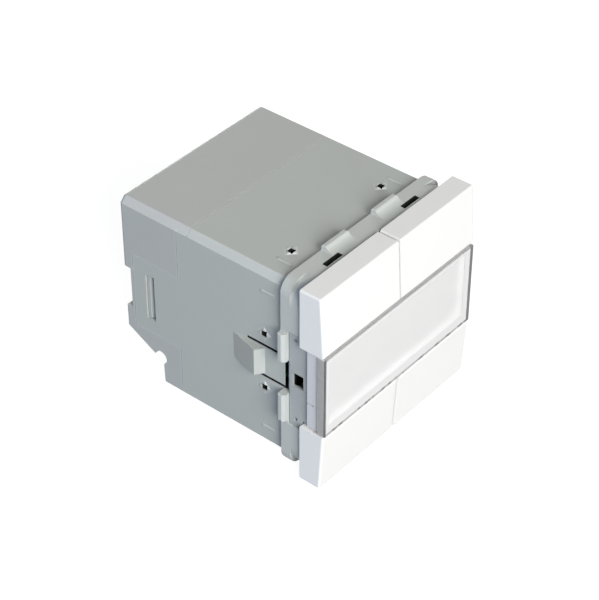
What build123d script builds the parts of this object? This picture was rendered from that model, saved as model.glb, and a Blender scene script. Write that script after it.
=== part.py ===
from build123d import *

import math
import os

os.makedirs("parts", exist_ok=True)

# Two-module push-button switch for a snap-in support frame, in millimetres.
# X runs to the right seen from the front, the keys face -Y and Z is up.
# The origin is the centre of the module, in the plane of the lugs' rear faces,
# which is where the rim of the support frame rests.

# Front field: four keys around a label window
front_width = 44.6
front_height = 44.6
module_gap = 0.3
window_height = 18.2
window_gap = 0.3
key_outer_depth = 4.7
key_inner_depth = 5.5
key_wall = 1.2
key_lift = 0.6
key_edge_round = 0.45
key_corner_bevel = 0.3

# Moulded case
front_overhang = 1.8
case_depth = 39.85
case_wall = 1.5
case_bevel = 1.3
collar_rise = 1.1
collar_front = -4.4
collar_step = -2.2
collar_back = -0.05
collar_front_corner = 5.0
collar_corner = 3.0
side_cut_back = -1.6
side_cut_margin = 1.6
case_split = 23.0
side_split = 25.65
tongue_half = 8.5
tongue_inset = 2.65
seam_gap = 0.12

# Rear cover
lower_inset = 0.45
channel_depth = 1.95
channel_half = 4.7
slope_top_rise = 10.9
slope_foot_rise = 6.0
slope_run = 9.0
rear_edge_round = 0.85
catch_inset = 5.3
catch_width = 2.2
catch_half = 5.3
cover_lip_half = 16.5
wire_notch_radius = 1.5

# Frame lugs and side latches
lug_offset = 7.1
lug_length = 6.4
lug_depth = 1.1
lug_foot = 3.4
lug_rise = 2.1
latch_half = 3.3
latch_slit = 0.6
latch_tip = -0.2
latch_gap = 0.8
latch_root = 8.8
latch_catch = 4.6
latch_peak = 5.85
latch_ramp_end = 12.2
latch_rise = 1.7
latch_tip_slope = 2.2
wedge_half = 2.95

# Snap holes that hold the front carrier, and the small ribs beside them
snap_hole = 1.4
top_snap_offset = 12.9
side_snap_offset = 6.35
snap_back = 4.7
snap_rim = 1.75
snap_rim_rise = 0.2
snap_rim_slope = 50
barb_reach = 0.65
rib_radius = 0.4
rib_sink = 0.18
rib_offset = 16.0
rib_front = 2.2
rib_back = 5.2

# Key hinges, retaining hooks and switches
hinge_back = -3.2
hinge_offset = 0.1
pin_radius = 0.7
pin_clearance = 0.06
pin_length = 0.75
bore_skin = 0.4
bore_vent_radius = 0.42
arm_thickness = 1.2
arm_radius = 1.3
arm_gap = 0.2
end_proud = 0.7
end_wall = 1.1
end_lip = 0.8
web_half = 1.3
hinge_lobe = 1.5
lobe_gap = 0.3
slot_length = 4.5
slot_front = -3.9
slot_back = -2.7
hook_clearance = 0.15
hook_thickness = 0.5
hook_reach = 1.4
switch_size = 4.6
switch_height = 3.0
switch_offset = 15.4
post_half = 1.2
plunger_radius = 1.2
plunger_clearance = 0.05
plunger_reach = 0.9
nose_gap = 0.1

# Front carrier and boards
carrier_gap = 0.15
window_slot_front = -5.0
window_slot_back = -2.5
window_slot_half = 1.6
window_skin = 0.45
window_relief = 0.5
stake_x = 6.0
stake_z = 16.0
stake_radius = 0.6
stake_clearance = 0.05
stake_foot_half = 1.2
light_opening = 5.1
light_opening_end = 2.6
guide_half = 5.9
guide_end = 1.8
guide_thickness = 0.6
lamp_pitch = 9.6
pipe_half = 1.4
board_gap = 0.3
rail_front = 7.5
link_pitch = 2.54
link_rise = 1.3
link_half = 6.6
link_pin_half = 0.32
link_bore_half = 0.42
bus_bore_clearance = 0.2
plate_thickness = 1.2
deck_front = -5.5
deck_thickness = 1.4
tower_half = 7.3
tower_back = -1.75
tower_wall = 1.2
board_thickness = 1.6
front_board_margin = 1.4
standoff = 1.0
coupler_board_top = -5.4
coupler_board_front = 7.0
coupler_board_inset = 2.1
rail_height = 1.0
rail_depth = 1.2
rail_gap = 0.1

# Label window
window_face = 5.75
cover_plate = 1.1
cover_wall = 0.85
cover_skirt = 1.85
base_inset = 0.25
insert_thickness = 0.18
lip_gap = 0.2
tab_slot_front = -7.9
tab_slot_back = -6.0
tab_slot_low = -3.35
tab_slot_high = -3.0

# Bus terminal in the rear wall
socket_width = 12.0
socket_height = 9.0
socket_depth = 6.0
socket_wall = 1.2
bus_pin_radius = 0.5
bus_pin_pitch = 5.75
bus_pin_reach = 5.3
bus_header_half = 5.6

# Parts on the boards
lamp_half_width = 1.6
lamp_half_height = 1.1
lamp_lens_half = 0.8
capacitor_x = -10.5
capacitor_y = 16.0
capacitor_radius = 4.0
capacitor_height = 9.5
capacitor_groove = 0.4
choke_x = 9.5
choke_y = 15.5
choke_radius = 4.6
choke_waist = 3.9
choke_flange = 1.1
choke_height = 6.6
chip_half_width = 3.0
chip_front = 13.0
chip_back = 22.0
lead_pitch = 1.17
lead_count = 7

# Sizes that follow from the values above
half_width = front_width / 2
half_height = front_height / 2
case_width = front_width - 2 * front_overhang
case_height = front_height - 2 * front_overhang
case_half = case_width / 2
case_top = case_height / 2
collar_half_w = case_half + collar_rise
collar_half_h = case_top + collar_rise
cavity_half = case_half - case_wall
cavity_top = case_top - case_wall
bevel_edge = case_top - case_bevel
tongue_back = case_depth - tongue_inset
catch_front = tongue_back - catch_inset
lower_back = case_depth - lower_inset
channel_floor = case_depth - channel_depth
socket_floor = channel_floor - socket_depth
slope_top = slope_top_rise - case_top
slope_foot = slope_foot_rise - case_top
slope_foot_back = lower_back - slope_run
key_rim = collar_front - key_lift
key_inner = window_height / 2 + window_gap
key_left = module_gap / 2
key_front_outer = key_rim - key_outer_depth
key_front_inner = key_rim - key_inner_depth
hinge_height = key_inner - hinge_offset
lobe_edge = key_inner + hinge_lobe
lobe_front = key_rim + lobe_gap
key_centre = (key_left + half_width) / 2
switch_x = key_centre
slot_offset = key_centre
carrier_end = case_half + end_proud
guide_edge = carrier_end - end_wall - guide_end
light_edge = carrier_end - end_wall - light_opening_end
front_board_half = cavity_half - front_board_margin
coupler_board_back = socket_floor - coupler_board_inset
window_front = key_rim - window_face
label_half = window_height / 2 - base_inset
base_front = window_front + cover_skirt
insert_back = window_front + cover_plate + insert_thickness
carrier_half_w = cavity_half - carrier_gap
carrier_half_h = cavity_top - carrier_gap
front_board_front = standoff
front_board_back = front_board_front + board_thickness
switch_front = front_board_front - switch_height
plunger_front = switch_front - plunger_reach
nose_tip = plunger_front - nose_gap
coupler_board_bottom = coupler_board_top - board_thickness


def block(x0, x1, y0, y1, z0, z1):
    """Rectangular tool body between two corners."""
    centre = Pos((x0 + x1) / 2, (y0 + y1) / 2, (z0 + z1) / 2)
    return centre * Box(abs(x1 - x0), abs(y1 - y0), abs(z1 - z0))


def prism_x(points, x0, x1):
    """Side profile given as (y, z) points, carried along X."""
    face = make_face(Polyline(*points, close=True))
    return extrude(Plane.YZ.offset(x0) * face, amount=x1 - x0)


def prism_z(points, z0, z1):
    """Plan profile given as (x, y) points, carried along Z."""
    face = make_face(Polyline(*points, close=True))
    return extrude(Plane.XY.offset(z0) * face, amount=z1 - z0)


def section_y(sketch, y0, y1):
    """Front-view section carried from y0 back to y1."""
    return extrude(Plane.XZ.offset(-y0) * sketch, amount=y0 - y1)


def pin_y(radius, x, z, y0, y1):
    """Round bar along Y."""
    return section_y(Pos(x, z) * Circle(radius), y0, y1)


def pin_x(radius, y, z, x0, x1):
    """Round bar along X."""
    return extrude(Plane.YZ.offset(x0) * (Pos(y, z) * Circle(radius)), amount=x1 - x0)


def quarter_turns(shape):
    """The shape and its copies on the right, bottom and left sides of the case."""
    return [Rot(0, 90 * turn, 0) * shape for turn in range(4)]


def both_sides(shape):
    """The shape and its mirror image in the middle plane of the case."""
    return [shape, mirror(shape, about=Plane.YZ)]


def case_section():
    """Square section of the case with bevelled long edges."""
    outline = Rectangle(case_width, case_height)
    return chamfer(outline.vertices(), case_bevel)


def collar():
    """Collar behind the keys, its corners cut back further in front than at the rear."""
    front = RectangleRounded(2 * collar_half_w, 2 * collar_half_h, collar_front_corner)
    rear = RectangleRounded(2 * collar_half_w, 2 * collar_half_h, collar_corner)
    return section_y(front, collar_front, collar_step) + section_y(rear, collar_step, collar_back)


def frame_lugs():
    """Pair of lugs on one side of the collar: the support frame's rim stops on their rear faces.

    A hollow ramp in front of each lug runs down to the collar.
    """
    top = case_top + lug_rise
    foot = case_top - 0.5
    rise = top - collar_half_h
    ramp = EllipticalCenterArc((-lug_foot, top), lug_foot - lug_depth, rise, start_angle=270, arc_size=90)
    outline = [(-lug_depth, top), (0, top), (0, foot), (-lug_foot, foot), (-lug_foot, collar_half_h)]
    face = make_face([ramp, Polyline(*outline)])
    pair = []
    for centre in (-lug_offset, lug_offset):
        lug = extrude(Plane.YZ.offset(centre - lug_length / 2) * face, amount=lug_length)
        pair.append(chamfer(lug.faces().sort_by(Axis.Z)[-1].edges(), 0.2))
    return pair


def side_latch():
    """Wedge of the spring latch on the right side: ramp from the rear, steep catch in front."""
    root = case_half - 0.3
    points = [
        (root, latch_ramp_end),
        (case_half, latch_ramp_end),
        (case_half + latch_rise, latch_peak),
        (case_half, latch_catch),
        (root, latch_catch),
    ]
    return prism_z(points, -wedge_half, wedge_half)


def latch_cuts():
    """Slits, front gap and hollow tip that free the latch tongue on the right side."""
    inner = cavity_half - 0.5
    outer = collar_half_w + 0.5
    slits = []
    for sign in (-1, 1):
        low = sign * latch_half
        high = sign * (latch_half + latch_slit)
        slits.append(block(inner, outer, latch_tip - latch_gap, latch_root, low, high))
    reach = latch_half + latch_slit
    gap = block(inner, outer, latch_tip - latch_gap, latch_tip, -reach, reach)
    flush = block(case_half, outer, collar_step, collar_back + 0.1, -reach, reach)
    slope = [(case_half, latch_tip), (inner, latch_tip), (inner, latch_tip + latch_tip_slope)]
    return slits + [gap, flush, prism_z(slope, -reach, reach)]


def snap_points():
    """Places of the snap holes as (turn, offset along the side)."""
    points = []
    for turn in range(4):
        offset = side_snap_offset if turn % 2 else top_snap_offset
        points += [(turn, -offset), (turn, offset)]
    return points


def snap_rims():
    """Low diamond rim with sloping sides around each snap hole."""
    rims = []
    for turn, offset in snap_points():
        side = case_half if turn % 2 else case_top
        diamond = Rot(0, 0, 45) * Rectangle(snap_rim * math.sqrt(2), snap_rim * math.sqrt(2))
        plane = Plane.XY.offset(side - 0.2)
        face = plane * (Pos(offset, snap_back) * diamond)
        rim = extrude(face, amount=snap_rim_rise + 0.2, taper=snap_rim_slope)
        rims.append(Rot(0, 90 * turn, 0) * rim)
    return rims


def snap_holes():
    """Square holes through the case walls for the carrier's barbs."""
    half = snap_hole / 2
    holes = []
    for turn, offset in snap_points():
        side = case_half if turn % 2 else case_top
        inside = side - case_wall - 0.5
        hole = block(offset - half, offset + half, snap_back - half, snap_back + half, inside, side + 1)
        holes.append(Rot(0, 90 * turn, 0) * hole)
    return holes


def case_ribs():
    """Short half-round ribs just behind the collar, near the case's corners."""
    ribs = []
    for turn in range(4):
        side = case_half if turn % 2 else case_top
        for offset in (-rib_offset, rib_offset):
            rib = pin_y(rib_radius, offset, side - rib_sink, rib_front, rib_back)
            ribs.append(Rot(0, 90 * turn, 0) * rib)
    return ribs


def board_rails():
    """Grooved rails inside the side walls that hold the coupler board."""
    low = coupler_board_bottom - rail_gap
    high = coupler_board_top + rail_gap
    inner = cavity_half - rail_depth
    rails = []
    for z0, z1 in ((low - rail_height, low), (high, high + rail_height)):
        rails += both_sides(block(inner, cavity_half + 0.2, rail_front, case_split - 1.0, z0, z1))
    return rails


def make_main_case():
    """Front case: barrel, collar, lugs, latches, tongues and board rails in one moulding."""
    barrel = section_y(case_section(), collar_front, tongue_back)
    case = barrel + collar()
    for lug in frame_lugs():
        for copy in quarter_turns(lug):
            case += copy
    for part in snap_rims() + case_ribs():
        case += part
    case -= block(-cavity_half, cavity_half, collar_front - 1, tongue_back + 1, -cavity_top, cavity_top)
    split = case_split - seam_gap / 2
    side = side_split - seam_gap / 2
    for sign in (-1, 1):
        far = sign * (case_top + 1)
        case -= block(-cavity_half, cavity_half, split, tongue_back + 1, sign * (cavity_top - 1), far)
        case -= block(-30, 30, split, tongue_back + 1, sign * bevel_edge, far)
        case -= block(-30, 30, side, tongue_back + 1, sign * tongue_half, far)
    reach = key_inner + side_cut_margin
    for cut in both_sides(block(cavity_half - 0.5, 30, collar_front - 1, side_cut_back, -reach, reach)):
        case -= cut
    for sign_x in (-1, 1):
        for sign_z in (-1, 1):
            x = sign_x * slot_offset
            z0 = sign_z * (cavity_top - 0.5)
            z1 = sign_z * (collar_half_h + 0.5)
            case -= block(x - slot_length / 2, x + slot_length / 2, slot_front, slot_back, z0, z1)
    for hole in snap_holes():
        case -= hole
    for cut in latch_cuts():
        for copy in both_sides(cut):
            case -= copy
    for wedge in both_sides(side_latch()):
        case += wedge
    catch = block(cavity_half - 0.5, 30, catch_front, catch_front + catch_width, -catch_half, catch_half)
    for cut in both_sides(catch):
        case -= cut
    for rail in board_rails():
        case += rail
    return case


def cover_profile():
    """Side profile of the rear cover: channel across the back and a sloping lower rear face."""
    points = [
        (case_split + seam_gap / 2, case_top),
        (case_depth, case_top),
        (case_depth, channel_half),
        (channel_floor, channel_half),
        (channel_floor, -channel_half),
        (lower_back, -channel_half),
        (lower_back, slope_top),
        (slope_foot_back, slope_foot),
        (slope_foot_back - 0.2, -case_top),
        (case_split + seam_gap / 2, -case_top),
    ]
    return make_face(Polyline(*points, close=True))


def cover_lip(sign):
    """Lip inside the top or bottom wall that centres the cover in the case."""
    inner = cavity_top - 0.1
    start = case_split + seam_gap
    points = [
        (case_split - 2.0, sign * inner),
        (start, sign * inner),
        (start, sign * (cavity_top + 0.2)),
        (start + 2.4, sign * (cavity_top + 0.2)),
        (start + 1.4, sign * (inner - 0.9)),
        (case_split - 2.0, sign * (inner - 0.9)),
    ]
    return prism_x(points, -cover_lip_half, cover_lip_half)


def cover_catch():
    """Spring tab inside the right side of the cover, with the wedge that snaps into the tongue's slot."""
    face = cavity_half - 0.15
    half = catch_half - 0.2
    tab = block(face - 1.1, face, catch_front - 1.4, channel_floor - 0.5, -half, half)
    front = catch_front + 0.15
    back = catch_front + catch_width - 0.15
    top = case_half - 0.35
    wedge = prism_z([(face - 0.2, front), (top, back - 0.65), (top, back), (face - 0.2, back)], -half, half)
    return tab + wedge


def bus_socket():
    """Sleeve behind the rear opening for the plug-on bus terminal."""
    outer = block(
        -socket_width / 2 - socket_wall,
        socket_width / 2 + socket_wall,
        socket_floor - socket_wall,
        channel_floor - 0.5,
        -socket_height / 2 - socket_wall,
        socket_height / 2 + socket_wall,
    )
    return outer


def make_rear_cover():
    """Rear cover: cheeks beside the case's tongues, rear wall, bus socket, lips and catches."""
    body = section_y(case_section(), case_split + seam_gap / 2, case_depth)
    rim = body.faces().sort_by(Axis.Y)[-1].edges()
    body = fillet(rim, rear_edge_round)
    profile = cover_profile()
    cover = body & extrude(Plane.YZ.offset(-case_half - 1) * profile, amount=case_width + 2)
    inner = offset(profile, amount=-case_wall, kind=Kind.INTERSECTION)
    cover -= extrude(Plane.YZ.offset(-cavity_half) * inner, amount=2 * cavity_half)
    front = case_split - 0.5
    cover -= block(-cavity_half, cavity_half, front, case_split + 3, -cavity_top, cavity_top)
    tongue = tongue_half + seam_gap / 2
    edge = cavity_half - 0.05
    for cut in both_sides(block(edge, 30, front, side_split + seam_gap / 2, -bevel_edge, bevel_edge)):
        cover -= cut
    for cut in both_sides(block(edge, 30, front, tongue_back + seam_gap, -tongue, tongue)):
        cover -= cut
    notch = pin_x(wire_notch_radius, slope_foot_back + 0.7, slope_foot + 0.9, cavity_half, 30)
    for cut in both_sides(notch):
        cover -= cut
    for sign in (-1, 1):
        cover += cover_lip(sign)
    for catch in both_sides(cover_catch()):
        cover += catch
    cover += bus_socket()
    half_w = socket_width / 2
    half_h = socket_height / 2
    cover -= block(-half_w, half_w, socket_floor, channel_floor + 1, -half_h, half_h)
    for sign in (-1, 1):
        radius = bus_pin_radius + bus_bore_clearance
        cover -= pin_y(radius, sign * bus_pin_pitch / 2, 0, socket_floor - 2, socket_floor + 1)
    return cover


def hinge_holes():
    """Bores for the key hinge pins in the end walls and the middle webs, with small holes outside."""
    bores = []
    end = carrier_end - bore_skin
    for sign in (-1, 1):
        height = sign * hinge_height
        bores.append(pin_x(pin_radius + pin_clearance, hinge_back, height, -end, end))
        bores.append(pin_x(bore_vent_radius, hinge_back, height, -carrier_end - 1, carrier_end + 1))
    return bores


def carrier_end_wall():
    """Right end wall, seen between the keys, with the window and the two hinge bores."""
    points = [
        (tower_back, -lobe_edge),
        (tower_back, lobe_edge),
        (lobe_front, lobe_edge),
        (lobe_front, label_half),
        (deck_front - end_lip, label_half),
        (deck_front - end_lip, -label_half),
        (lobe_front, -label_half),
        (lobe_front, -lobe_edge),
    ]
    return prism_x(points, carrier_end - end_wall, carrier_end)


def end_windows():
    """Square windows through both end walls, relieved inside, where the light guide shows."""
    half = window_slot_half
    wide = half + window_relief
    front = window_slot_front + 0.1
    back = window_slot_back + window_relief
    window = block(carrier_end - 3, carrier_end + 1, window_slot_front, window_slot_back, -half, half)
    relief = block(carrier_end - 3, carrier_end - window_skin, front, back, -wide, wide)
    return both_sides(window + relief)


def stake_places():
    """X and Z of the four stakes that hold the front board."""
    return [(x, z) for x in (-stake_x, stake_x) for z in (-stake_z, stake_z)]


def carrier_web(sign):
    """Middle web between a left and a right key, which holds their inner hinge pins."""
    foot = sign * (tower_half - 0.5)
    points = [(-0.5, foot), (-0.5, sign * lobe_edge), (hinge_back + 0.8, sign * lobe_edge)]
    points += [(lobe_front, sign * (lobe_edge - 0.8)), (lobe_front, foot)]
    return prism_x(points, -web_half, web_half)


def carrier_hooks():
    """Spring hooks that snap into the case's holes."""
    hooks = []
    for turn, offset in snap_points():
        outer = carrier_half_w if turn % 2 else carrier_half_h
        barb_top = outer + carrier_gap + barb_reach
        half = snap_hole / 2 - 0.2
        tongue = block(offset - 1.0, offset + 1.0, -plate_thickness, snap_back + 0.8, outer - 0.9, outer)
        points = [
            (snap_back - half, outer - 0.2),
            (snap_back - half, barb_top),
            (snap_back - half + 0.4, barb_top),
            (snap_back + half, outer - 0.2),
        ]
        barb = prism_x(points, offset - half, offset + half)
        hooks += [Rot(0, 90 * turn, 0) * tongue, Rot(0, 90 * turn, 0) * barb]
    return hooks


def arm_positions():
    """Low and high X of the two hinge arms of a right-hand key."""
    outer = carrier_end - end_wall - arm_gap
    inner = web_half + arm_gap
    return [(inner, inner + arm_thickness), (outer - arm_thickness, outer)]


def make_front_carrier():
    """Moulded frame that carries the keys, the boards and the label window."""
    plate = section_y(RectangleRounded(2 * carrier_half_w, 2 * carrier_half_h, 1.0), -plate_thickness, 0)
    opening = switch_size + 0.8
    for sign_x in (-1, 1):
        for sign_z in (-1, 1):
            hole = Pos(sign_x * switch_x, sign_z * switch_offset) * Rectangle(opening, opening)
            plate -= section_y(hole, -plate_thickness - 1, 1)
    end = carrier_end - 0.2
    half = cavity_half - 0.3
    carrier = plate + block(-half, half, deck_front + 0.5, 0, -tower_half, tower_half)
    carrier += block(-end, end, deck_front, deck_front + deck_thickness, -label_half, label_half)
    carrier += block(-end, end, deck_front, tower_back, -tower_half, tower_half)
    hollow = tower_half - tower_wall
    far = carrier_end - end_wall
    carrier -= block(-far, far, deck_front + deck_thickness, 1, -hollow, hollow)
    opening = light_opening
    back = deck_front + deck_thickness + 1
    carrier -= block(-light_edge, light_edge, deck_front - 1, back, -opening, opening)
    rebate = guide_edge + 0.2
    carrier -= block(-rebate, rebate, deck_front - 1, deck_front + guide_thickness, -hollow, hollow)
    for wall in both_sides(carrier_end_wall()):
        carrier += wall
    for sign in (-1, 1):
        carrier += carrier_web(sign)
    for low, high in arm_positions():
        for sign in (-1, 1):
            z0 = sign * (hinge_height - arm_radius - 0.35)
            relief = block(low - arm_gap, high + arm_gap, deck_front - 1, -1.3, z0, sign * 12)
            for copy in both_sides(relief):
                carrier -= copy
    for hook in carrier_hooks():
        carrier += hook
    for x, z in stake_places():
        foot = stake_foot_half
        carrier += block(x - foot, x + foot, -0.5, standoff, z - foot, z + foot)
        carrier += pin_y(stake_radius, x, z, -0.5, front_board_back + 0.4)
    for cut in hinge_holes() + end_windows():
        carrier -= cut
    return carrier


def key_shell():
    """Hollow cap of the upper right key, its front leaning out towards the window."""
    outer = [(key_rim, key_inner), (key_front_inner, key_inner)]
    outer += [(key_front_outer, half_height), (key_rim, half_height)]
    shell = prism_x(outer, key_left, half_width)
    corners = shell.edges().filter_by(Axis.Y).group_by(Axis.Z)[-1]
    shell = chamfer(corners, key_corner_bevel)
    front = shell.faces().sort_by(Axis.Y)[0]
    shell = fillet(front.edges(), key_edge_round)
    wall = key_wall
    inner = [
        (key_rim + 1, key_inner + wall),
        (key_front_inner + wall + 0.1, key_inner + wall),
        (key_front_outer + wall + 0.1, half_height - wall),
        (key_rim + 1, half_height - wall),
    ]
    return shell - prism_x(inner, key_left + wall, half_width - wall)


def key_post():
    """Square post with a bevelled nose that presses the switch plunger, and the rib that stiffens it."""
    root = key_front_outer + key_wall
    low = switch_offset - post_half
    high = switch_offset + post_half
    post = block(switch_x - post_half, switch_x + post_half, root, nose_tip, low, high)
    post = chamfer(post.faces().sort_by(Axis.Y)[-1].edges(), post_half / 2)
    rib_points = [
        (key_front_inner + 0.8, key_inner + 0.6),
        (key_front_outer + 0.8, half_height - 0.6),
        (-7.2, half_height - 0.6),
        (-6.2, switch_offset),
        (-7.2, key_inner + 0.6),
    ]
    return [post, prism_x(rib_points, switch_x - 0.4, switch_x + 0.4)]


def key_arms():
    """Hinge arms of the upper right key with their outward pins."""
    parts = []
    positions = arm_positions()
    root_front = key_rim - 3.6
    root_back = key_rim - 0.3
    low_edge = key_inner + 0.05
    high_edge = lobe_edge
    boss = Pos(hinge_back, hinge_height) * Circle(arm_radius)
    neck = [(root_back, low_edge), (root_back, high_edge), (root_back - 0.2, high_edge)]
    neck_edges = Polyline(*neck, close=True).edges()
    root = [(root_back, low_edge), (root_front, low_edge), (root_front, low_edge + 1.4)]
    root_face = make_face(Polyline(*root, (root_back, high_edge), close=True))
    arm_face = make_hull(list(boss.edges()) + list(neck_edges)) + root_face
    for index, (low, high) in enumerate(positions):
        parts.append(extrude(Plane.YZ.offset(low) * arm_face, amount=high - low))
        if index == 0:
            parts.append(pin_x(pin_radius, hinge_back, hinge_height, low - pin_length, low + 0.3))
        else:
            parts.append(pin_x(pin_radius, hinge_back, hinge_height, high - 0.3, high + pin_length))
    return parts


def key_hook():
    """Hook that keeps the outer edge of the key behind the collar's slot edge."""
    half = slot_length / 2 - 0.35
    face = cavity_top - 0.3
    front = slot_front + hook_clearance
    back = front + hook_thickness
    points = [
        (key_front_outer + 0.8, face - 1.0),
        (key_front_outer + 0.8, face),
        (front, face),
        (front, cavity_top + hook_reach),
        (back - 0.15, cavity_top + hook_reach),
        (back + 0.1, face - 0.2),
        (back + 0.1, face - 1.0),
    ]
    return prism_x(points, slot_offset - half, slot_offset + half)


def make_upper_right_key():
    """Upper right key: shell, post, ribs, hinge arms and retaining hook in one moulding."""
    key = key_shell()
    for part in key_post() + key_arms() + [key_hook()]:
        key += part
    return key


def make_label_base():
    """Tray under the label: outer frame, raised lip and an open middle for the light."""
    width = half_width - 0.5
    lip_w = half_width - 0.2 - cover_wall - lip_gap
    lip_h = window_height / 2 - cover_wall - lip_gap
    base = block(-width, width, base_front, deck_front, -label_half, label_half)
    lip_front = insert_back
    base += block(-lip_w, lip_w, lip_front, base_front + 0.1, -lip_h, lip_h)
    base = fillet(base.edges().filter_by(Axis.Y), 0.25)
    end = carrier_end - end_wall - 0.1
    for cut in both_sides(block(end, 30, deck_front - end_lip - 0.05, deck_front + 1, -15, 15)):
        base -= cut
    base -= block(-lip_w + 1.2, lip_w - 1.2, base_front, deck_front + 1, -lip_h + 1.2, lip_h - 1.2)
    hole = light_opening + 0.9
    base -= block(-guide_edge + 0.3, guide_edge - 0.3, lip_front - 1, base_front + 1, -hole, hole)
    for sign in (-1, 1):
        x0 = sign * (width - 0.4)
        base -= block(x0, sign * 30, tab_slot_front, tab_slot_back, tab_slot_low, tab_slot_high)
    return base


def make_label_insert():
    """Blank printed sheet that lies on the tray's lip."""
    half_w = half_width - 0.2 - cover_wall - lip_gap
    half_h = window_height / 2 - cover_wall - lip_gap
    return block(-half_w, half_w, window_front + cover_plate, insert_back, -half_h, half_h)


def make_label_cover():
    """Clear cap over the label, with a short skirt and softened front edges."""
    half_w = half_width - 0.2
    half_h = window_height / 2
    cover = block(-half_w, half_w, window_front, base_front, -half_h, half_h)
    front = cover.faces().sort_by(Axis.Y)[0]
    cover = fillet(list(front.edges()) + list(cover.edges().filter_by(Axis.Y)), 0.25)
    inner_w = half_w - cover_wall
    inner_h = half_h - cover_wall
    return cover - block(-inner_w, inner_w, window_front + cover_plate, 0, -inner_h, inner_h)


def make_light_guide():
    """Clear plate in the deck with a light pipe in front of each lamp."""
    back = deck_front + guide_thickness
    guide = block(-guide_edge, guide_edge, deck_front, back, -guide_half, guide_half)
    for x in led_places():
        guide += block(x - pipe_half, x + pipe_half, deck_front + 0.3, -0.6, -pipe_half, pipe_half)
    return guide


def led_places():
    """X of the four window lamps."""
    return [lamp_pitch * (index - 1.5) for index in range(4)]


def make_window_led(x):
    """Surface-mounted lamp with a raised, bevelled lens."""
    width = lamp_half_width
    half = lamp_lens_half
    base = block(x - width, x + width, 0.3, front_board_front, -lamp_half_height, lamp_half_height)
    lens = block(x - half, x + half, -0.4, 0.4, -half, half)
    return base + chamfer(lens.faces().sort_by(Axis.Y)[0].edges(), 0.3)


def make_front_board():
    """Board behind the carrier, with holes for the carrier's stakes."""
    half_height_inside = cavity_top - front_board_margin
    outline = chamfer(Rectangle(2 * front_board_half, 2 * half_height_inside).vertices(), 1.0)
    board = section_y(outline, front_board_front, front_board_back)
    for x, z in stake_places():
        board -= pin_y(stake_radius + stake_clearance, x, z, 0, 4)
    return board


def make_switch_body(x, z):
    """Key switch housing with a bore for its plunger."""
    half = switch_size / 2
    body = block(x - half, x + half, switch_front, front_board_front, z - half, z + half)
    body = chamfer(body.edges().filter_by(Axis.Y), 0.5)
    bore_depth = switch_front + 1.1
    return body - pin_y(plunger_radius + plunger_clearance, x, z, switch_front - 1, bore_depth)


def make_switch_plunger(x, z):
    """Round plunger of a key switch."""
    return pin_y(plunger_radius, x, z, plunger_front, switch_front + 0.75)


def make_coupler_board():
    """Board that slides in the case's rails, with holes for the bus pins' legs."""
    half = cavity_half - board_gap
    bottom = coupler_board_bottom
    return block(-half, half, coupler_board_front, coupler_board_back, bottom, coupler_board_top)


def link_columns():
    """X of the five pins between the boards."""
    return [link_pitch * (index - 2) for index in range(5)]


def make_link_socket():
    """Socket on the back of the front board for the link pins."""
    z = coupler_board_top + link_rise
    half = link_bore_half
    back = coupler_board_front - 0.1
    socket = block(-link_half, link_half, front_board_back, back, z - link_rise, z + link_rise)
    for x in link_columns():
        socket -= block(x - half, x + half, front_board_back + 0.6, back + 1, z - half, z + half)
    return socket


def make_link_header():
    """Pin header on the coupler board."""
    front = coupler_board_front + 0.4
    top = coupler_board_top + 2 * link_rise
    header = block(-link_half, link_half, front, front + 2.5, coupler_board_top, top)
    return chamfer(header.edges().filter_by(Axis.Y), 0.3)


def make_link_pins():
    """Five square pins, bent down into the coupler board."""
    z = coupler_board_top + link_rise
    half = link_pin_half
    leg = coupler_board_front + 4.2
    foot = coupler_board_bottom - 0.6
    pins = []
    for x in link_columns():
        pin = block(x - half, x + half, front_board_back + 1.0, leg, z - half, z + half)
        pins.append(pin + block(x - half, x + half, leg - 2 * half, leg, foot, z))
    return Compound(children=pins)


def make_bus_pin_header():
    """Moulded block that carries the two bus pins."""
    back = socket_floor - socket_wall - 0.1
    half = bus_header_half
    header = block(-half, half, back - 2.4, back, coupler_board_top, bus_pin_radius + 0.9)
    return chamfer(header.edges().group_by(Axis.Z)[-1], 0.4)


def make_bus_pins():
    """Two bus pins: square and bent in the header, round in the socket."""
    pins = []
    half = bus_pin_radius * 0.9
    leg = socket_floor - socket_wall - 1.3
    for sign in (-1, 1):
        x = sign * bus_pin_pitch / 2
        tip = pin_y(bus_pin_radius, x, 0, socket_floor, socket_floor + bus_pin_reach)
        tip = chamfer(tip.edges().sort_by(Axis.Y)[-1], 0.2)
        pin = tip + block(x - half, x + half, leg - half, socket_floor, -half, half)
        pin += block(x - half, x + half, leg - half, leg + half, coupler_board_bottom - 0.6, 0)
        pins.append(pin)
    return Compound(children=pins)


def make_storage_capacitor():
    """Round can with a rolled groove near its foot."""
    radius = capacitor_radius
    height = capacitor_height
    points = [(0, 0), (radius, 0), (radius, 1.4), (radius - capacitor_groove, 1.8), (radius, 2.2)]
    points += [(radius, height), (0, height)]
    can = revolve(Plane.XZ * make_face(Polyline(*points, close=True)), axis=Axis.Z)
    return Pos(capacitor_x, capacitor_y, coupler_board_top) * can


def make_bus_choke():
    """Drum core with a wound waist."""
    edge = choke_radius
    waist = choke_waist
    high = choke_height - choke_flange
    points = [(0, 0), (edge, 0), (edge, choke_flange), (waist, choke_flange), (waist, high)]
    points += [(edge, high), (edge, choke_height), (0, choke_height)]
    core = revolve(Plane.XZ * make_face(Polyline(*points, close=True)), axis=Axis.Z)
    return Pos(choke_x, choke_y, coupler_board_top) * core


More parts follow.
